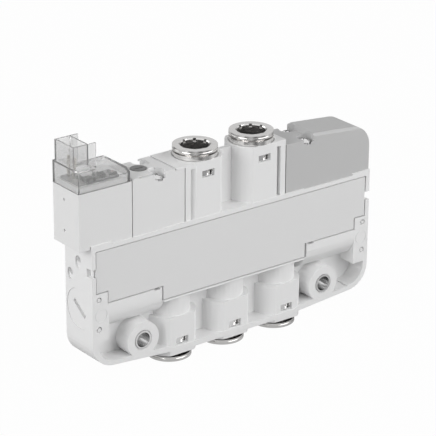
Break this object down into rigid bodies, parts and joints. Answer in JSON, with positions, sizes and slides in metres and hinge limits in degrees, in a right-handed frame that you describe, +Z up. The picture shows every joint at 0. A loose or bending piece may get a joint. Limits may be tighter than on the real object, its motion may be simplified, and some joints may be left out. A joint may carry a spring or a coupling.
{
  "type": "pneumatic solenoid valve",
  "caption": "Slim in-line spool valve: flat moulded housing, push-in tube ports above and below, solenoid pilot with clear plug cover at one end, blank cover at the other.",
  "frame": {"origin": "midway between the two mounting holes, at half the thickness", "axes": "+X towards the blank cover, label faces -Y, +Z up through the outlet ports"},
  "size_m": [0.1058, 0.0136, 0.0725],
  "materials": {
    "housing_plastic": "satin moulded plastic",
    "block_plastic": "satin moulded plastic",
    "cover_plastic": "satin moulded plastic",
    "label_film": "smooth printed-film base, unprinted",
    "clear_plastic": "clear smoky plastic",
    "nickel": "nickel-plated brass",
    "steel": "zinc-plated steel",
    "aluminium": "turned",
    "seal_rubber": "moulded",
    "dark_plastic": "moulded",
    "button_plastic": "moulded",
    "copper_winding": "enamelled copper wire",
    "contact_brass": "plated",
    "lamp_plastic": "tinted"
  },
  "bodies": {
    "valve": {"valve_body": "housing_plastic", "label_plate": "label_film", "end_disc": "housing_plastic", "spool_plug": "housing_plastic", "return_spring": "steel", "mounting_bushes": "steel", "cartridge_1": "nickel", "cartridge_2": "nickel", "cartridge_3": "nickel", "cartridge_4": "nickel", "cartridge_5": "nickel", "grip_ring_1": "steel", "grip_ring_2": "steel", "grip_ring_3": "steel", "grip_ring_4": "steel", "grip_ring_5": "steel", "tube_seal_1": "seal_rubber", "tube_seal_2": "seal_rubber", "tube_seal_3": "seal_rubber", "tube_seal_4": "seal_rubber", "tube_seal_5": "seal_rubber", "port_seals": "seal_rubber", "port_clips": "steel", "pilot_adapter": "block_plastic", "adapter_plate": "block_plastic", "passage_seals": "seal_rubber", "override_spring": "steel", "pilot_gasket": "seal_rubber", "pilot_housing": "block_plastic", "solenoid_coil": "copper_winding", "coil_bobbin": "dark_plastic", "pole_piece": "steel", "armature_spring": "steel", "clear_cover": "clear_plastic", "board_carrier": "block_plastic", "circuit_board": "dark_plastic", "signal_led": "lamp_plastic", "contact_pins": "contact_brass", "adapter_screws": "steel", "blank_cover": "cover_plastic", "cover_screws": "steel"},
    "override": {"override_button": "button_plastic", "override_seal": "seal_rubber"},
    "spool_set": {"spool": "aluminium", "spool_seals": "seal_rubber", "pilot_piston": "block_plastic", "return_piston": "block_plastic", "piston_seals": "seal_rubber"},
    "armature_set": {"armature": "steel", "armature_seal": "seal_rubber"},
    "collar_1": {"release_collar_1": "nickel"},
    "collar_2": {"release_collar_2": "nickel"},
    "collar_3": {"release_collar_3": "nickel"},
    "collar_4": {"release_collar_4": "nickel"},
    "collar_5": {"release_collar_5": "nickel"}
  },
  "joints": [
    {"name": "override_press", "type": "slide", "parent": "valve", "child": "override", "axis": [0, 0, -1], "range_m": [0, 0.0012], "stiffness_N_per_m": 800, "springref_m": -0.001, "deforming": ["override_spring"]},
    {"name": "collar_1_press", "type": "slide", "parent": "valve", "child": "collar_1", "axis": [0, 0, 1], "range_m": [0, 0.0005], "stiffness_N_per_m": 4000, "springref_m": -0.0003},
    {"name": "collar_2_press", "type": "slide", "parent": "valve", "child": "collar_2", "axis": [0, 0, -1], "range_m": [0, 0.0005], "stiffness_N_per_m": 4000, "springref_m": -0.0003},
    {"name": "collar_3_press", "type": "slide", "parent": "valve", "child": "collar_3", "axis": [0, 0, 1], "range_m": [0, 0.0005], "stiffness_N_per_m": 4000, "springref_m": -0.0003},
    {"name": "collar_4_press", "type": "slide", "parent": "valve", "child": "collar_4", "axis": [0, 0, -1], "range_m": [0, 0.0005], "stiffness_N_per_m": 4000, "springref_m": -0.0003},
    {"name": "collar_5_press", "type": "slide", "parent": "valve", "child": "collar_5", "axis": [0, 0, 1], "range_m": [0, 0.0005], "stiffness_N_per_m": 4000, "springref_m": -0.0003},
    {"name": "spool_shift", "type": "slide", "parent": "valve", "child": "spool_set", "axis": [1, 0, 0], "range_m": [0, 0.0024], "stiffness_N_per_m": 1000, "springref_m": -0.004, "deforming": ["return_spring"]},
    {"name": "armature_pull", "type": "slide", "parent": "valve", "child": "armature_set", "axis": [-1, 0, 0], "range_m": [0, 0.0005], "stiffness_N_per_m": 600, "springref_m": -0.001, "deforming": ["armature_spring"]}
  ]
}
